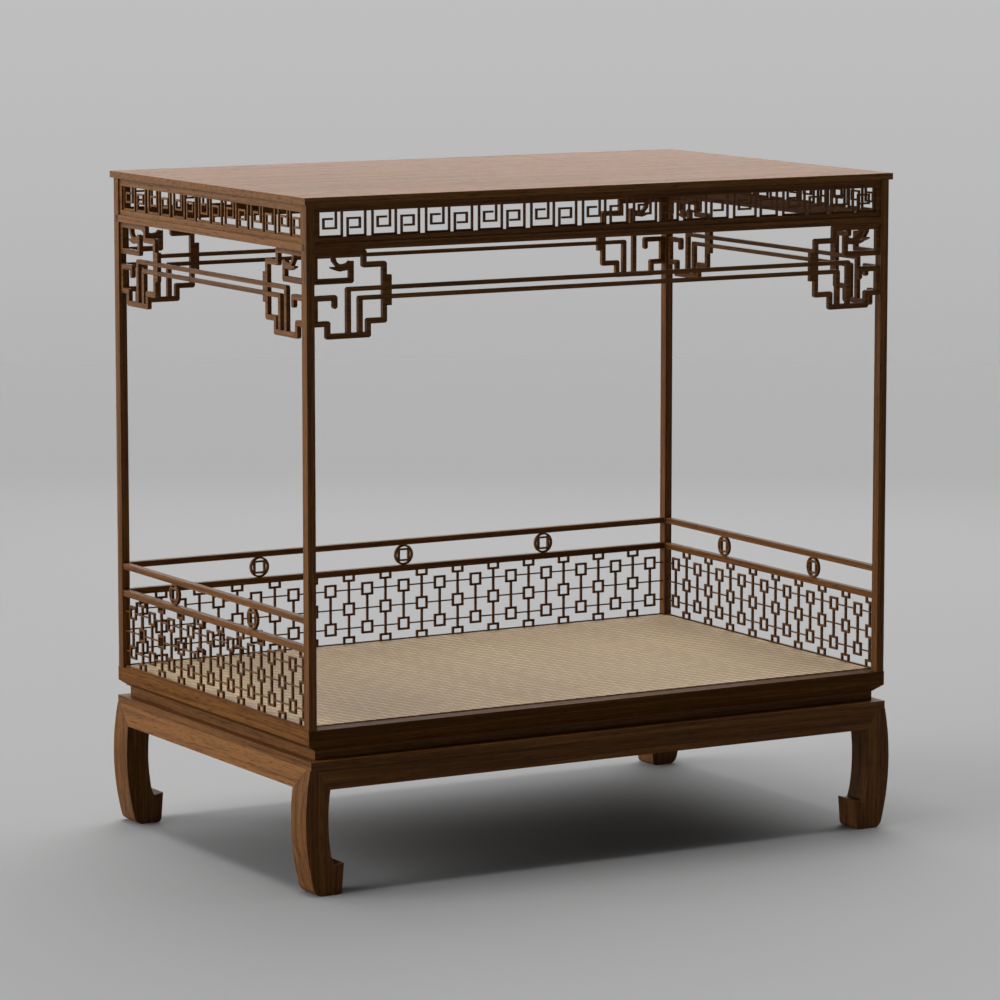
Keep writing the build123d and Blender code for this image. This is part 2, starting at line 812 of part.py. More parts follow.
for side, place in sides.items():
    cell = long_fret_cell if side in long_sides else short_fret_cell
    middle_z = (fret_bottom + fret_top) / 2
    bay = place.length - 2 * place.post_face - 2 * fret_stile
    period = 2 * cell + fret_unit_gap
    units = int((bay + fret_unit_gap) // period)
    first = (place.length - (units * period - fret_unit_gap)) / 2
    with BuildSketch() as unit_sketch:
        meander_unit(cell)
    with BuildPart() as fret:
        with BuildSketch(place.plane.offset(-fret_bar_in)):
            with Locations([(first + i * period, 0) for i in range(units)]):
                add(unit_sketch.sketch)
            with Locations((place.length / 2, middle_z)):
                Rectangle(bay, fret_opening, mode=Mode.INTERSECT)
        extrude(amount=-fret_bar_depth)
        with BuildSketch(place.plane.offset(-fret_in)):
            outer_low = fret_bottom - fret_bottom_rail
            with Locations((place.length / 2, (outer_low + roof_bottom) / 2)):
                Rectangle(place.length - 2 * place.post_face, roof_bottom - outer_low)
            with Locations((place.length / 2, middle_z)):
                Rectangle(bay, fret_opening, mode=Mode.SUBTRACT)
        extrude(amount=-fret_frame_depth)
        add_tenons(side, "fret")
    save(fret, f"fret_panel_{side}")


# ---------------------------------------------------------------- brackets
def scroll_work(at):
    """Angular scroll bracket with a dragon's head inside; at() places a point of the drawing.

    Drawing points run away from the post and down from the lower rail.
    """
    edge = bracket_upright / 2
    top = bracket_level / 2
    outer = bracket_width - edge
    bottom = bracket_drop - top
    foot = outer - bracket_foot_out
    top_end = outer - bracket_top_out
    outline = [
        (edge, bracket_gap[1]),
        (edge, bottom - bracket_steps[0]),
        (bracket_foot_in, bottom - bracket_steps[0]),
        (bracket_foot_in, bottom),
        (foot, bottom),
        (foot, bottom - bracket_steps[1]),
        (outer, bottom - bracket_steps[1]),
        (outer, bracket_head_drop),
        (top_end, bracket_head_drop),
        (top_end, top),
        (edge, top),
        (edge, bracket_gap[0]),
        (bracket_nook[0], bracket_gap[0]),
        bracket_nook,
    ]
    hook = [(edge, bracket_gap[1]), (bracket_hook[0], bracket_gap[1]), bracket_hook]
    drops = [
        [(outer, drop), (foot - spacing, drop), (foot - spacing, bottom)]
        for drop, spacing in zip(rod_drops, drop_spacing)
    ]
    for paths, level in (((outline, hook), bracket_level), (drops, bracket_drop_bar)):
        for path in paths:
            stroke([at(*point) for point in path], bracket_upright, level, bracket_bevel)
    # head with its horn against the top bar, looking back towards the post
    head = [
        (61, 10),
        (76, 10),
        (77, 26),
        (81, 36),
        (89, 41.5),
        (103, 43.5),
        (117, 40.5),
        (124, 33),
        (131, 36),
        (138, 34.5),
        (138, 64),
        (117, 61.5),
        (100, 63.4),
        (91, 65),
        (76, 60.5),
        (62, 55),
        (61, 50),
        (81, 50.8),
        (67, 34.4),
    ]
    Polygon(*[at(*point) for point in head])


for side, place in sides.items():
    for hand, end in ((1, "start"), (-1, "end")):
        near_post = place.post_face if hand == 1 else place.length - place.post_face

        def at(away, down):
            return (near_post + hand * away, lower_rail_bottom - down)

        with BuildPart() as bracket:
            with BuildSketch(place.plane.offset(-bracket_in)):
                scroll_work(at)
                # block that holds the rods
                block_middle = bracket_width + (rod_block[0] - rod_block_lap) / 2
                with Locations(at(block_middle, rod_block_drop)):
                    Rectangle(rod_block[0] + rod_block_lap, rod_block[1])
            extrude(amount=-bracket_depth)
            add_tenons(side, "bracket", [end])
            middle_in = bracket_in + bracket_depth / 2
            side_box(
                side,
                *centred(at(head_peg_away, 0)[0], head_peg[0]),
                lower_rail_bottom,
                lower_rail_bottom + head_peg[2],
                *centred(middle_in, head_peg[1]),
            )
            # sockets for the rods
            socket = rod_tenon[1] + end_gap
            socket_middle = at(bracket_width + rod_block[0] - socket / 2, 0)[0]
            for drop in rod_drops:
                side_box(
                    side,
                    *centred(socket_middle, socket),
                    *grown(centred(lower_rail_bottom - drop, rod_tenon[0])),
                    *grown(centred(middle_in, rod_tenon[0])),
                    mode=Mode.SUBTRACT,
                )
        save(bracket, f"bracket_{side}_{end}")

# ---------------------------------------------------------------- twin rods
for side, place in sides.items():
    with BuildPart() as rods:
        rod_start = place.post_face + bracket_width + rod_block[0]
        for drop in rod_drops:
            for size, longer in ((rod_size, 0), rod_tenon):
                side_box(
                    side,
                    *grown((rod_start, place.length - rod_start), longer),
                    *centred(lower_rail_bottom - drop, size),
                    *centred(bracket_in + bracket_depth / 2, size),
                )
    save(rods, f"twin_rods_{side}")

# ---------------------------------------------------------------- railing
railing_sides = ("left", "back", "right")
medallion_places = {
    "left": side_medallions,
    "back": back_medallions,
    "right": side_medallions,
}
peg_width, peg_length = medallion_peg


def medallion_pegs(side, extra, mode):
    """Pegs that hold the medallions in the rails above and below, or their sockets."""
    place = sides[side]
    for offset in medallion_places[side]:
        along = place.length / 2 + offset
        for level, direction in (
            (frame_top + lattice_rail_z + lattice_rail_height, -1),
            (frame_top + top_rail_z, 1),
        ):
            reach = level + direction * (peg_length + (end_gap if extra else 0))
            inner = level if extra else level - direction * medallion_ring / 2
            low, high = sorted((inner, reach))
            side_box(
                side,
                *grown(centred(along, peg_width), extra),
                low,
                high,
                *grown(centred(place.railing_in, peg_width), extra),
                mode=mode,
            )


for side in railing_sides:
    place = sides[side]
    for name, low, height in (
        ("top_rail", frame_top + top_rail_z, top_rail_height),
        ("lattice_rail", frame_top + lattice_rail_z, lattice_rail_height),
    ):
        with BuildPart() as rail:
            side_box(
                side,
                place.post_face,
                place.length - place.post_face,
                low,
                low + height,
                *centred(place.railing_in, railing_rail_depth),
            )
            add_tenons(side, name)
            medallion_pegs(side, fit, Mode.SUBTRACT)
        save(rail, f"{name}_{side}")

with BuildPart() as medallions:
    centre_z = frame_top + top_rail_z - medallion_radius
    square = (medallion_radius - medallion_corner_in) * sqrt(2)
    hole = square - 2 * medallion_bar
    for side in railing_sides:
        place = sides[side]
        with BuildSketch(place.plane.offset(-place.railing_in + medallion_depth / 2)):
            with Locations(
                [(place.length / 2 + offset, centre_z) for offset in medallion_places[side]]
            ):
                Circle(medallion_radius)
                Circle(medallion_radius - medallion_ring, mode=Mode.SUBTRACT)
                Rectangle(square, square)
                Rectangle(hole, hole, mode=Mode.SUBTRACT)
        extrude(amount=-medallion_depth)
        medallion_pegs(side, 0, Mode.ADD)
save(medallions, "railing_medallions")


# ---------------------------------------------------------------- lattice panels
def lattice(length, post_face, pair_places, single_places):
    """Linked squares: columns of two squares between columns of one square and two halves."""
    low = frame_top + lattice_sill
    high = frame_top + lattice_rail_z
    middle = (low + high) / 2
    bay = length - 2 * post_face
    levels = (middle - lattice_row, middle, middle + lattice_row)
    with Locations((length / 2, frame_top + lattice_sill / 2)):
        Rectangle(bay, lattice_sill)
    with Locations([(length / 2, level) for level in levels]):
        Rectangle(bay, lattice_thin_bar)
    with Locations([(along, middle) for along in single_places]):
        Rectangle(lattice_bar, high - low)
    with Locations([(along, middle) for along in pair_places]):
        Rectangle(lattice_bar, 2 * lattice_row)
    pairs = [(along, level) for along in pair_places for level in (levels[0], levels[2])]
    singles = [(along, level) for along in single_places for level in (low, middle, high)]
    with Locations(pairs + singles):
        Rectangle(lattice_square, lattice_square)
    hole = lattice_square - 2 * lattice_bar
    with Locations(pairs + singles):
        Rectangle(hole, hole, mode=Mode.SUBTRACT)
    with Locations((length / 2, high + lattice_square / 2)):
        Rectangle(length, lattice_square, mode=Mode.SUBTRACT)
    with Locations((length / 2, low - lattice_square / 2)):
        Rectangle(length, lattice_square, mode=Mode.SUBTRACT)
    with Locations((length / 2, frame_top + lattice_sill / 2)):
        Rectangle(bay, lattice_sill)


for side in railing_sides:
    place = sides[side]
    # as many columns as the bay takes, clear of the post at the far end
    if side == "back":
        half_bay = place.length / 2 - place.post_face - lattice_square / 2
        each_way = int(half_bay // lattice_pitch)
        start = place.length / 2 - each_way * lattice_pitch
        pairs = [start + i * lattice_pitch for i in range(2 * each_way + 1)]
        singles = [along + lattice_pitch / 2 for along in pairs[:-1]]
    else:
        last_column = place.length - place.post_face - (lattice_square + lattice_pitch) / 2
        columns = int((last_column - side_lattice_start) // lattice_pitch) + 1
        pairs = [side_lattice_start + i * lattice_pitch for i in range(columns)]
        singles = [along + lattice_pitch / 2 for along in pairs]
        if side == "right":
            pairs = [place.length - along for along in pairs]
            singles = [place.length - along for along in singles]
    with BuildPart() as lattice_panel:
        with BuildSketch(place.plane.offset(-place.railing_in + lattice_depth / 2)):
            lattice(place.length, place.post_face, pairs, singles)
        extrude(amount=-lattice_depth)
        add_tenons(side, "lattice")
    save(lattice_panel, f"lattice_{side}")
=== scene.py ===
"""Looks of the four-post canopy bed: oiled hardwood, a woven mat, a pale studio and the camera."""

import math

import bpy
import numpy as np
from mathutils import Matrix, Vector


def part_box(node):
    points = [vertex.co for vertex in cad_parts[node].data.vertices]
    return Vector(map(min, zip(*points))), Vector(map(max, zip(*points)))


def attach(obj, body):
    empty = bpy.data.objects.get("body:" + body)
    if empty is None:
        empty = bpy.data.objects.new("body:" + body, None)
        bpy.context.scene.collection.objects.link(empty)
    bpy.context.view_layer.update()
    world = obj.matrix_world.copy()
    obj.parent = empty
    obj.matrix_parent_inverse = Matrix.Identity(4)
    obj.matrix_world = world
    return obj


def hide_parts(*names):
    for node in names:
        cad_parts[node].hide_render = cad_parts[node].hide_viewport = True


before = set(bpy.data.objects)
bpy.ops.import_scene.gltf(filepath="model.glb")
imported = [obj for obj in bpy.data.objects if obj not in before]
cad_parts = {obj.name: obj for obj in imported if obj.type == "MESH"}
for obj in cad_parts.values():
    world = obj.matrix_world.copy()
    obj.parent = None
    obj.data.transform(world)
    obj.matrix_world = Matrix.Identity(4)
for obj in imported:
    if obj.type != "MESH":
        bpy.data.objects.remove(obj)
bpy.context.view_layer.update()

MM = 0.001
CENTRE = (0, 0, 0)
NOISE_RANGE = (0.3, 0.7)  # values between which nearly all of a noise lies


# ---------------------------------------------------------------- node helpers
def new_tree(owner):
    """An empty node tree on a material or a world."""
    owner.use_nodes = True
    owner.node_tree.nodes.clear()
    return owner.node_tree


def put(tree, socket, value):
    """Feed an input with a plain value or with another node's output."""
    if isinstance(value, bpy.types.NodeSocket):
        tree.links.new(value, socket)
    else:
        socket.default_value = value


def add_node(tree, kind, inputs=None, **settings):
    made = tree.nodes.new(kind)
    for name, value in settings.items():
        setattr(made, name, value)
    for name, value in (inputs or {}).items():
        put(tree, made.inputs[name], value)
    return made


def calc(tree, operation, *values):
    inputs = dict(enumerate(values))
    return add_node(tree, "ShaderNodeMath", inputs, operation=operation).outputs[0]


def times(tree, first, second):
    return calc(tree, "MULTIPLY", first, second)


def plus(tree, first, second):
    return calc(tree, "ADD", first, second)


def dot(tree, first, second):
    inputs = {0: first, 1: second}
    made = add_node(tree, "ShaderNodeVectorMath", inputs, operation="DOT_PRODUCT")
    return made.outputs["Value"]


def remap(tree, value, low, high, to_low=0.0, to_high=1.0, kind="SMOOTHSTEP"):
    inputs = {
        "Value": value,
        "From Min": low,
        "From Max": high,
        "To Min": to_low,
        "To Max": to_high,
    }
    made = add_node(tree, "ShaderNodeMapRange", inputs, interpolation_type=kind)
    return made.outputs["Result"]


def blend(tree, share, first, second):
    """Mix of two colours; the sockets of this node are told apart by number."""
    made = add_node(tree, "ShaderNodeMix", data_type="RGBA")
    for number, value in ((0, share), (6, first), (7, second)):
        put(tree, made.inputs[number], value)
    return made.outputs[2]


def stretched(tree, coords, scale, offset=CENTRE):
    inputs = {"Vector": coords, "Scale": scale, "Location": offset}
    return add_node(tree, "ShaderNodeMapping", inputs).outputs["Vector"]


def noise(tree, coords, scale, offset=CENTRE, detail=2.0, roughness=0.5):
    """Smooth noise; the scale is in features per metre along each axis."""
    vector = stretched(tree, coords, scale, offset)
    inputs = {"Vector": vector, "Scale": 1.0, "Detail": detail, "Roughness": roughness}
    return add_node(tree, "ShaderNodeTexNoise", inputs).outputs["Fac"]


def add_bump(tree, height, strength, distance, normal=None):
    inputs = {"Strength": strength, "Distance": distance, "Height": height}
    if normal is not None:
        inputs["Normal"] = normal
    return add_node(tree, "ShaderNodeBump", inputs).outputs["Normal"]


def principled(tree, colour, roughness, shine, normal=None):
    inputs = {"Base Color": colour, "Roughness": roughness, "Specular IOR Level": shine}
    if normal is not None:
        inputs["Normal"] = normal
    return add_node(tree, "ShaderNodeBsdfPrincipled", inputs).outputs["BSDF"]


def set_surface(tree, shader):
    add_node(tree, "ShaderNodeOutputMaterial", {"Surface": shader})


# ---------------------------------------------------------------- wood
WOOD_DARK = (0.066, 0.0245, 0.0055, 1)
WOOD_MID = (0.124, 0.048, 0.011, 1)
WOOD_LIGHT = (0.194, 0.081, 0.021, 1)
WOOD_WORN = (0.265, 0.130, 0.045, 1)
WOOD_END = (0.030, 0.011, 0.003, 1)
PORE_DARK = (0.028, 0.010, 0.003, 1)
TONE_ENDS = ((0.47, WOOD_DARK), (0.82, WOOD_LIGHT))
TONE_MIDDLE = 0.63

# each layer of the grain: features per metre along and across it, and an offset
WANDER = ((0.7, 3.0, 3.0), CENTRE)
BANDS = ((1.0, 50.0, 50.0), (3, 1, 7))
FIBRES = ((6.0, 230.0, 230.0), (1, 5, 2))
PORES = ((22.0, 420.0, 420.0), (9, 3, 4))
RUB = ((14.0, 14.0, 14.0), (2, 2, 2))

RING_STRETCH = (0.12, 1.0, 1.0)
RING_SCALE = 20.0
RING_WANDER = 14.0
RING_LOOK = {"Distortion": 2.0, "Detail": 2.0, "Detail Scale": 1.2, "Detail Roughness": 0.5}
RING_SHARE, BAND_SHARE, FIBRE_SHARE = 0.12, 0.55, 0.60
HEART_NEAR, HEART_FAR = (-4, 0.12, 0.08), (4, 0.4, 0.3)  # range of the log's centre, in metres

PORE_EDGE = (0.58, 0.70)
PORE_COVER = 0.65
PORE_DEPTH = 0.8
PORE_ROUGHNESS = 0.25
WOOD_ROUGHNESS = (0.40, 0.52)
WEAR_RADIUS = 3.5 * MM
WEAR_TURN = (0.99, 0.80)  # cosines between the true and the rounded normal
WEAR_PATCHES = (0.35, 0.65)
WEAR_COVER = (0.10, 0.55)
SOFT_RADIUS = 1.2 * MM
BEVEL_SAMPLES = 4
END_TURN = (0.85, 0.95)
END_COVER = 0.8
GRAIN_RELIEF = 0.35 * MM
GRAIN_STRENGTH = 0.35
ALONG = {"x": (1, 0, 0), "y": (0, 1, 0), "z": (0, 0, 1)}
TURN = {"x": (0, 0, 0), "y": (0, 0, -math.pi / 2), "z": (0, math.pi / 2, 0)}  # lays it along X


def wood_tone(tree, turned, fibres):
    """Light and dark of the grain: growth rings, bands and fibres."""
    wander = noise(tree, turned, *WANDER)
    rings = add_node(
        tree,
        "ShaderNodeTexWave",
        {
            "Vector": stretched(tree, turned, RING_STRETCH),
            "Scale": RING_SCALE,
            "Phase Offset": times(tree, wander, RING_WANDER),
            **RING_LOOK,
        },
        wave_type="RINGS",
        rings_direction="X",
        wave_profile="SAW",
    ).outputs["Fac"]
    bands = noise(tree, turned, *BANDS, detail=3.0)
    streaks = plus(tree, times(tree, bands, BAND_SHARE), times(tree, fibres, FIBRE_SHARE))
    return plus(tree, times(tree, rings, RING_SHARE), streaks)


def worn_edges(tree, plain, turned):
    """Mask of the rubbed edges: where a rounded normal turns away from the true one."""
    bevel = add_node(tree, "ShaderNodeBevel", {"Radius": WEAR_RADIUS}, samples=BEVEL_SAMPLES)
    turned_away = dot(tree, plain, bevel.outputs["Normal"])
    rub = noise(tree, turned, *RUB, detail=3.0)
    cover = remap(tree, rub, *WEAR_PATCHES, *WEAR_COVER)
    return times(tree, remap(tree, turned_away, *WEAR_TURN), cover)


def wood(name, axis, seed, ends_show, painted_light, shine):
    """Hardwood with growth rings, fibres and pores along one axis, and edges rubbed lighter; the
    grain's tone is scaled by the piece's painted light and shade.
    """
    material = bpy.data.materials.new(name)
    tree = new_tree(material)
    coords = add_node(tree, "ShaderNodeTexCoord").outputs["Object"]
    rng = np.random.default_rng(seed)
    heart = [float(v) for v in rng.uniform(HEART_NEAR, HEART_FAR)]
    turning = {"Vector": coords, "Rotation": TURN[axis], "Location": heart}
    turned = add_node(tree, "ShaderNodeMapping", turning).outputs["Vector"]

    fibres = noise(tree, turned, *FIBRES, detail=3.0, roughness=0.6)
    pores = noise(tree, turned, *PORES, detail=1.0)
    # painted light and shade: the grain's tone is scaled per piece to stand in for how light falls
    # on it
    tone = times(tree, wood_tone(tree, turned, fibres), painted_light)
    ramp = add_node(tree, "ShaderNodeValToRGB", {"Fac": tone})
    stops = ramp.color_ramp.elements
    for stop, (position, shade) in zip(stops, TONE_ENDS):
        stop.position, stop.color = position, shade
    stops.new(TONE_MIDDLE).color = WOOD_MID
    pore_mask = remap(tree, pores, *PORE_EDGE, 0.0, PORE_COVER)
    colour = blend(tree, pore_mask, ramp.outputs["Color"], PORE_DARK)

    plain = add_node(tree, "ShaderNodeNewGeometry").outputs["Normal"]
    colour = blend(tree, worn_edges(tree, plain, turned), colour, WOOD_WORN)
    if ends_show:
        along = calc(tree, "ABSOLUTE", dot(tree, plain, ALONG[axis]))
        colour = blend(tree, remap(tree, along, *END_TURN, 0.0, END_COVER), colour, WOOD_END)

    fibre_gloss = remap(tree, fibres, *NOISE_RANGE, *WOOD_ROUGHNESS, "LINEAR")
    roughness = plus(tree, fibre_gloss, times(tree, pore_mask, PORE_ROUGHNESS))
    relief = calc(tree, "SUBTRACT", fibres, times(tree, pore_mask, PORE_DEPTH))
    soft_edge = add_node(tree, "ShaderNodeBevel", {"Radius": SOFT_RADIUS}, samples=BEVEL_SAMPLES)
    bump = add_bump(tree, relief, GRAIN_STRENGTH, GRAIN_RELIEF, soft_edge.outputs["Normal"])
    set_surface(tree, principled(tree, colour, roughness, shine, bump))
    return material


def grain_axis(node):
    """Direction of the wood's grain in a piece, by its name."""
    if node.startswith(("leg", "post")):
        return "z"
    if "left" in node.split("_") or "right" in node.split("_"):
        return "y"
    if node in ("seat_braces", "roof_battens"):
        return "y"
    return "x"


ENDS_SHOW = ("lower_rail", "roof_battens", "seat_braces")  # pieces with an end in plain view
SHINE = 0.09
FRAME_SHINE = 0.03
PAINTED_LIGHT_AND_SHADE = {  # painted light and shade: pieces made lighter where light falls strongly on them (the roof's top, the pieces on the left side), darker where they lie in shade (the front rail's strip under the canopy, the lattices)
    "roof_board": 1.16,
    "lower_rail_left": 1.28,
    "fret_panel_left": 1.2,
    "apron_left": 1.24,
    "frame_rail_front": 0.8,
    "lattice_back": 0.88,
    "lattice_left": 0.88,
    "lattice_right": 0.88,
}
FIRST_SEED = 1000

for index, name in enumerate(sorted(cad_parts)):
    if name == "sleeping_mat":
        continue
    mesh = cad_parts[name].data
    if not mesh.materials:
        mesh.materials.append(None)
    material = wood(
        f"wood_{name}",
        grain_axis(name),
        FIRST_SEED + index,
        name.startswith(ENDS_SHOW),
        # this piece's painted light and shade factor, 1.0 where none is painted
        PAINTED_LIGHT_AND_SHADE.get(name, 1.0),
        FRAME_SHINE if name.startswith("frame_rail") else SHINE,
    )
    for slot in range(len(mesh.materials)):
        mesh.materials[slot] = material


# ---------------------------------------------------------------- woven mat
PITCH = 9.375 * MM  # spacing of the mat's flat strands
REPEAT = 12  # strands in one repeat of the steep twill: over six and under six along Y
HALF = REPEAT / 2
SHIFT = 3  # rows by which each float lies beyond its neighbour
RELIEF = 1.1 * MM
MAT_LIFT = 0.2 * MM  # the mat's lower face stays clear of the seat panel
# the rush's own colour; the strands along Y are made lighter than those along X, a painted
# highlight on the twill's ribs
MAT_ALONG_WITH_HIGHLIGHT = (0.755, 0.555, 0.305, 1)
MAT_ACROSS = (0.510, 0.355, 0.183, 1)
MAT_DARK = (0.380, 0.250, 0.135, 1)
# colour of the painted shade in the mat's seams and where its strands dip under
MAT_PAINTED_SHADE = (0.120, 0.070, 0.030, 1)
MAT_SHINE = 0.35
MAT_ROUGHNESS = (0.55, 0.75)
MAT_TONE = (0.15, 0.75)
MAT_DARKEST = 0.85
MAT_FIBRE_RELIEF = 0.4
MAT_BUMP, MAT_BUMP_DEPTH = 0.6, 0.5 * MM
FIBRE_LONG, FIBRE_FINE = 25.0, 1400.0  # a strand's fibres: features per metre
FIBRE_APART = (5, 5, 0)  # keeps the fibres along Y from repeating those along X
PATCH_SCALE = 2.2
STRAND_SHARE, STRAND_FIBRE_SHARE, PATCH_SHARE = 0.25, 0.35, 0.25
# painted shade along each strand's edges and at each float's ends, where the strand dips under its
# neighbour
SEAM_SHADE_START, SEAM_SHADE_COVER = 0.62, 0.55
DIP_SHADE_START, DIP_SHADE_COVER = 0.5, 0.8
ROW_OFFSET = 500.5  # keeps the rows' random numbers apart from the columns'
CROWN_LOW, DIP_LOW = 0.35, 0.55


def weave_height(x, y):
    """Height of the twill's surface over its ground, from 0 to 1."""
    i, j = np.floor(x / PITCH), np.floor(y / PITCH)
    u, v = x / PITCH - i, y / PITCH - j
    phase = np.mod(SHIFT * i + j, REPEAT)
    along_y = phase < HALF
    across = np.where(along_y, u, v)
    step = np.where(along_y, (phase + v) / HALF, (np.floor((phase - HALF) / SHIFT) + u) / 2)
    crown = np.sqrt(np.clip(1 - (2 * across - 1) ** 2, 0, 1))
    swell = np.sin(np.pi * np.clip(step, 0, 1))
    return (CROWN_LOW + (1 - CROWN_LOW) * crown) * (DIP_LOW + (1 - DIP_LOW) * swell)


def grid_lines(start, end, extra):
    """Two lines to a strand from start to end, with the extra ones in place of near ones."""
    first, last = math.ceil(start / PITCH * 2), math.floor(end / PITCH * 2)
    found = np.arange(first, last + 1) * PITCH / 2
    marks = np.array([start, end, *extra])
    found = found[np.abs(found[:, None] - marks[None, :]).min(axis=1) > PITCH / 8]
    return np.sort(np.concatenate([found, marks]))


def rim_loop(faces):
    """The outline of a patch of faces, as a loop of vertex numbers."""
    edges = np.concatenate([faces[:, [k, (k + 1) % 4]] for k in range(4)])
    pairs = dict.fromkeys(map(tuple, edges.tolist()))
    following = {p: q for p, q in pairs if (q, p) not in pairs}
    start = min(following)
    loop = [start]
    while following[loop[-1]] != start:
        loop.append(following[loop[-1]])
    return loop


def make_mat():
    """The woven mesh, with the two back corners cut out round the posts."""
    low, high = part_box("sleeping_mat")
    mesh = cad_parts["sleeping_mat"].data
    corners = np.array([v.co[:] for v in mesh.vertices])
    inner = corners[(np.abs(corners[:, 0]) < high.x - MM) & (corners[:, 1] < high.y - MM)]
    notch_x, notch_y = np.abs(inner[:, 0]).max(), inner[:, 1].max()
    xs = grid_lines(low.x, high.x, (-notch_x, notch_x))
    ys = grid_lines(low.y, high.y, (notch_y,))
    top = high.z - RELIEF
    grid_x, grid_y = np.meshgrid(xs, ys, indexing="ij")
    height = top + RELIEF * weave_height(grid_x, grid_y)
    number = np.arange(grid_x.size).reshape(grid_x.shape)
    middle_x = (xs[:-1] + xs[1:]) / 2
    middle_y = (ys[:-1] + ys[1:]) / 2
    keep = ~((np.abs(middle_x)[:, None] > notch_x) & (middle_y[None, :] > notch_y))
    quads = (number[:-1, :-1], number[1:, :-1], number[1:, 1:], number[:-1, 1:])
    faces = np.stack([quad[keep] for quad in quads], axis=1)

    # the outline is carried down to one flat face below
    loop = rim_loop(faces)
    points = np.stack([grid_x.ravel(), grid_y.ravel(), height.ravel()], axis=1)
    points[loop, 2] = top
    base, count = len(points), len(loop)
    lower = points[loop].copy()
    lower[:, 2] = low.z + MAT_LIFT
    points = np.concatenate([points, lower])
    sides = [
        (loop[k], base + k, base + (k + 1) % count, loop[(k + 1) % count]) for k in range(count)
    ]
    bottom = [tuple(base + k for k in reversed(range(count)))]

    used = np.zeros(len(points), bool)
    used[faces.ravel()] = True
    used[base:] = True
    renumber = np.cumsum(used) - 1
    all_faces = [tuple(int(renumber[k]) for k in face) for face in faces.tolist() + sides + bottom]
    made = bpy.data.meshes.new("woven_mat")
    made.from_pydata(points[used].tolist(), [], all_faces)
    made.update()
    made.polygons.foreach_set("use_smooth", [len(f) == 4 for f in all_faces])
    piece = bpy.data.objects.new("woven_mat", made)
    bpy.context.scene.collection.objects.link(piece)
    return piece


def mat_material():
    """Flat strands in a twill, each a little different, with fine fibres along them, and painted
    shade in the seams between strands and where they dip under.
    """
    material = bpy.data.materials.new("woven_rush")
    tree = new_tree(material)
    coords = add_node(tree, "ShaderNodeTexCoord").outputs["Object"]
    split = add_node(tree, "ShaderNodeSeparateXYZ", {0: coords})
    x = calc(tree, "DIVIDE", split.outputs["X"], PITCH)
    y = calc(tree, "DIVIDE", split.outputs["Y"], PITCH)
    i, j = calc(tree, "FLOOR", x), calc(tree, "FLOOR", y)
    u, v = calc(tree, "FRACT", x), calc(tree, "FRACT", y)
    diagonal = plus(tree, times(tree, i, float(SHIFT)), j)
    phase = calc(tree, "FLOORED_MODULO", diagonal, float(REPEAT))
    along_y = calc(tree, "LESS_THAN", phase, HALF)
    along_x = calc(tree, "SUBTRACT", 1.0, along_y)

    def choose(first, second):
        """The first value on strands along Y, the second on strands along X."""
        return plus(tree, times(tree, first, along_y), times(tree, second, along_x))

    across = choose(u, v)
    strand = choose(i, plus(tree, j, ROW_OFFSET))
    beyond = calc(tree, "SUBTRACT", phase, HALF)
    column = calc(tree, "FLOOR", calc(tree, "DIVIDE", beyond, SHIFT))
    step = choose(
        calc(tree, "DIVIDE", plus(tree, phase, v), HALF),
        calc(tree, "DIVIDE", plus(tree, column, u), HALF / SHIFT),
    )

    each = add_node(tree, "ShaderNodeTexWhiteNoise", {"W": strand}, noise_dimensions="1D")
    fibre_x = noise(tree, coords, (FIBRE_LONG, FIBRE_FINE, 1.0))
    fibre_y = noise(tree, coords, (FIBRE_FINE, FIBRE_LONG, 1.0), FIBRE_APART)
    fibre = choose(fibre_y, fibre_x)
    patch = noise(tree, coords, (PATCH_SCALE, PATCH_SCALE, 1.0), detail=3.0)
    tone = plus(
        tree,
        times(tree, each.outputs["Value"], STRAND_SHARE),
        plus(tree, times(tree, fibre, STRAND_FIBRE_SHARE), times(tree, patch, PATCH_SHARE)),
    )

    # painted shade: darker along each strand's edges and where it dips under at the ends of a
    # float
    edge = calc(tree, "ABSOLUTE", calc(tree, "SUBTRACT", times(tree, across, 2.0), 1.0))
    seam_shade = remap(tree, edge, SEAM_SHADE_START, 1.0)
    swell = calc(tree, "SINE", times(tree, step, math.pi))
    dip_shade = remap(tree, swell, DIP_SHADE_START, 0.0)
    shade = calc(tree, "MAXIMUM", times(tree, seam_shade, SEAM_SHADE_COVER), times(tree, dip_shade, DIP_SHADE_COVER))

    # painted highlight: strands along Y take the lighter colour, those along X the darker one
    strands_and_highlight = blend(tree, along_y, MAT_ACROSS, MAT_ALONG_WITH_HIGHLIGHT)
    darkness = remap(tree, tone, *MAT_TONE, MAT_DARKEST, 0.0, "LINEAR")
    colour = blend(tree, darkness, strands_and_highlight, MAT_DARK)
    # the painted shade goes into the mat's colour
    colour = blend(tree, shade, colour, MAT_PAINTED_SHADE)
    relief = calc(tree, "SUBTRACT", times(tree, fibre, MAT_FIBRE_RELIEF), shade)
    bump = add_bump(tree, relief, MAT_BUMP, MAT_BUMP_DEPTH)
    roughness = remap(tree, fibre, *NOISE_RANGE, *MAT_ROUGHNESS, "LINEAR")
    set_surface(tree, principled(tree, colour, roughness, MAT_SHINE, bump))
    return material


mat = make_mat()
mat.data.materials.append(mat_material())
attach(mat, "root")
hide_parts("sleeping_mat")

# ---------------------------------------------------------------- floor, light and camera
FLOOR_RADIUS = 60.0
FLOOR_CORNERS = 64
FLOOR_FADE = (5.0, 24.0)  # distances over which the floor gives way to the backdrop
FLOOR_GREY = (0.255, 0.255, 0.255, 1)
FLOOR_ROUGHNESS, FLOOR_SHINE = 0.9, 0.1

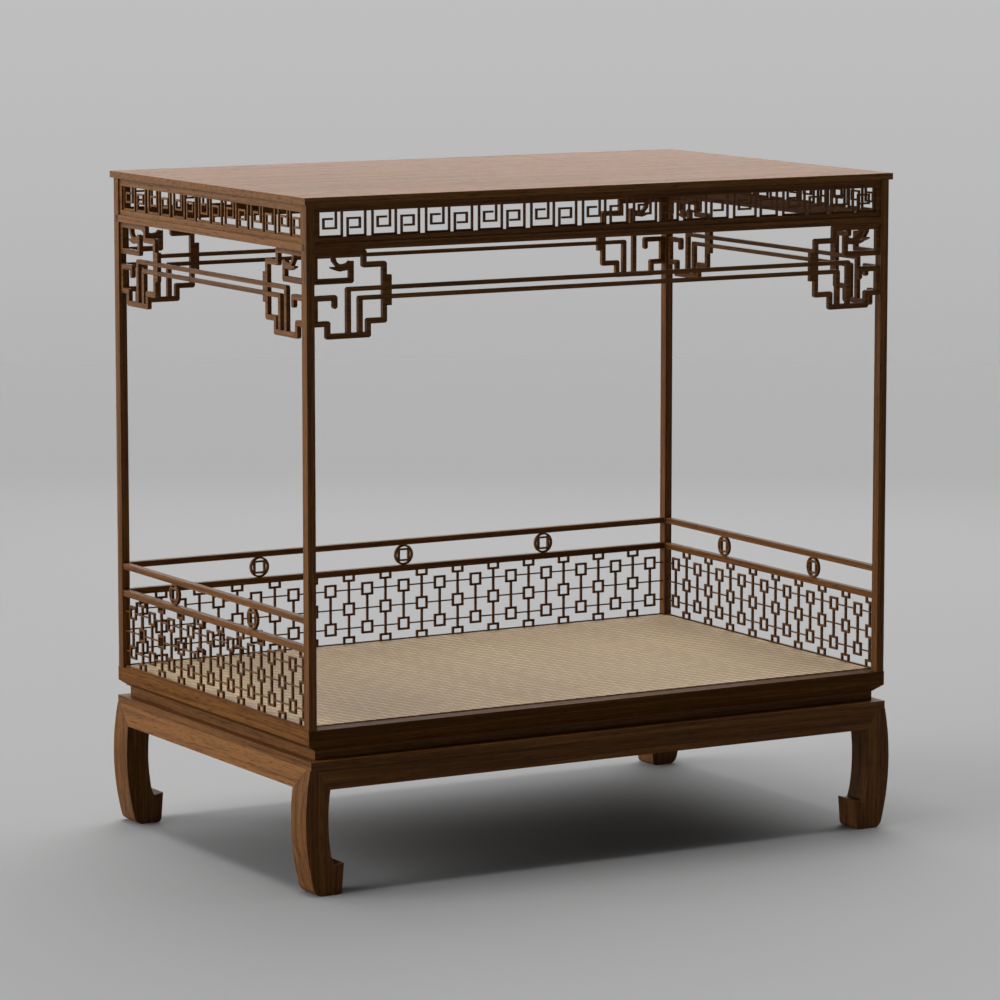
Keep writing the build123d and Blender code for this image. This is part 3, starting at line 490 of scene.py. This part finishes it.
WALL_LIGHT = (  # soft light from behind: direction, narrowness, strength
    ((-0.7, 0.7, 0.6), 4.0, 0.9),
    ((0.6, 0.78, 0.6), 6.0, 3.9),
)
WALL_FOOT = (0.1, 0.6)  # heights of direction over which the walls' light sets in
BACKDROP_HEIGHTS = (-0.20, -0.02)
BACKDROP_GREYS = (0.400, 0.530)
PANELS = (  # soft boxes: name, place, point it faces, width and height, radiance
    ("back_panel", (4.3, 6.6, 3.7), (0, 0, 2.0), (7.0, 2.0), 2.3),
    ("left_panel", (-3.4, 4.6, 2.0), (-1, 0, 1.7), (3.2, 2.4), 1.4),
)
SUNS = (  # wide lights: name, direction it comes from, energy, width in degrees
    ("top", (-0.06, 0.02, 1.0), 1.8, 17),
    ("left", (-1.0, 0.25, 0.34), 2.4, 50),
    ("right", (0.5, 0.3, 0.9), 0.85, 60),
)
CAMERA_PLACE = (-7.71207, -13.31807, 3.21765)
CAMERA_TILT, CAMERA_TURN = 82.045, -30.073
CAMERA_LENS, CAMERA_SENSOR = 172.61, 36
CAMERA_REACH = 200


def make_floor():
    angles = np.linspace(0, 2 * math.pi, FLOOR_CORNERS, endpoint=False)
    points = [(FLOOR_RADIUS * math.cos(t), FLOOR_RADIUS * math.sin(t), 0.0) for t in angles]
    mesh = bpy.data.meshes.new("studio_floor")
    mesh.from_pydata(points, [], [tuple(range(FLOOR_CORNERS))])
    floor = bpy.data.objects.new("studio_floor", mesh)
    bpy.context.scene.collection.objects.link(floor)
    material = bpy.data.materials.new("studio_floor")
    tree = new_tree(material)
    coords = add_node(tree, "ShaderNodeTexCoord").outputs["Object"]
    far = add_node(tree, "ShaderNodeVectorMath", {0: coords}, operation="LENGTH")
    fade = remap(tree, far.outputs["Value"], *FLOOR_FADE)
    dull = principled(tree, FLOOR_GREY, FLOOR_ROUGHNESS, FLOOR_SHINE)
    clear = add_node(tree, "ShaderNodeBsdfTransparent").outputs["BSDF"]
    mixed = add_node(tree, "ShaderNodeMixShader", {0: fade, 1: dull, 2: clear})
    set_surface(tree, mixed.outputs["Shader"])
    mesh.materials.append(material)


def lobe(tree, direction, towards, narrowness, strength):
    """Soft patch of light on the studio's walls, brightest in one direction."""
    length = math.sqrt(sum(v * v for v in towards))
    facing = dot(tree, direction, [v / length for v in towards])
    patch = calc(tree, "POWER", calc(tree, "MAXIMUM", facing, 0.0), narrowness)
    return times(tree, patch, strength)


def make_world():
    world = bpy.data.worlds.new("studio")
    bpy.context.scene.world = world
    tree = new_tree(world)
    direction = add_node(tree, "ShaderNodeTexCoord").outputs["Generated"]
    height = add_node(tree, "ShaderNodeSeparateXYZ", {0: direction}).outputs["Z"]
    # what lights the bed: walls behind it, above the horizon; the side in front is dark
    walls = plus(tree, *(lobe(tree, direction, *light) for light in WALL_LIGHT))
    lit = times(tree, walls, remap(tree, height, *WALL_FOOT))
    # what the camera and the reflections see: a grey backdrop, paler towards the horizon
    seen = remap(tree, height, *BACKDROP_HEIGHTS, *BACKDROP_GREYS, "LINEAR")
    path = add_node(tree, "ShaderNodeLightPath").outputs
    shown = calc(tree, "MAXIMUM", path["Is Camera Ray"], path["Is Glossy Ray"])
    shown = calc(tree, "MAXIMUM", shown, path["Is Transmission Ray"])
    light = blend(tree, shown, lit, seen)
    surface = add_node(tree, "ShaderNodeBackground", {"Color": light, "Strength": 1.0})
    add_node(tree, "ShaderNodeOutputWorld", {"Surface": surface.outputs["Background"]})


def add_sun(name, direction, energy, width):
    """A wide soft light that comes from a direction."""
    lamp = bpy.data.lights.new(name, "SUN")
    lamp.energy = energy
    lamp.angle = math.radians(width)
    holder = bpy.data.objects.new(name, lamp)
    x, y, z = direction
    holder.rotation_euler = (math.atan2(math.hypot(x, y), z), 0, math.atan2(x, -y))
    bpy.context.scene.collection.objects.link(holder)


def add_panel(name, place, aim, size, radiance):
    """A soft box: a glowing rectangle that faces a point and isn't seen itself."""
    lamp = bpy.data.lights.new(name, "AREA")
    lamp.shape = "RECTANGLE"
    lamp.size, lamp.size_y = size
    lamp.energy = radiance * math.pi * size[0] * size[1]
    holder = bpy.data.objects.new(name, lamp)
    holder.location = place
    holder.visible_camera = False
    x, y, z = (b - a for a, b in zip(place, aim))
    holder.rotation_euler = (math.atan2(math.hypot(x, y), -z), 0, math.atan2(-x, y))
    bpy.context.scene.collection.objects.link(holder)


def add_camera():
    camera = bpy.data.objects.new("camera", bpy.data.cameras.new("camera"))
    camera.location = CAMERA_PLACE
    camera.rotation_euler = (math.radians(CAMERA_TILT), 0, math.radians(CAMERA_TURN))
    camera.data.sensor_width = CAMERA_SENSOR
    camera.data.lens = CAMERA_LENS
    camera.data.clip_end = CAMERA_REACH
    bpy.context.scene.collection.objects.link(camera)
    bpy.context.scene.camera = camera


make_floor()
make_world()
for panel in PANELS:
    add_panel(*panel)
for sun in SUNS:
    add_sun(*sun)
add_camera()
bpy.context.scene.view_settings.view_transform = "Standard"
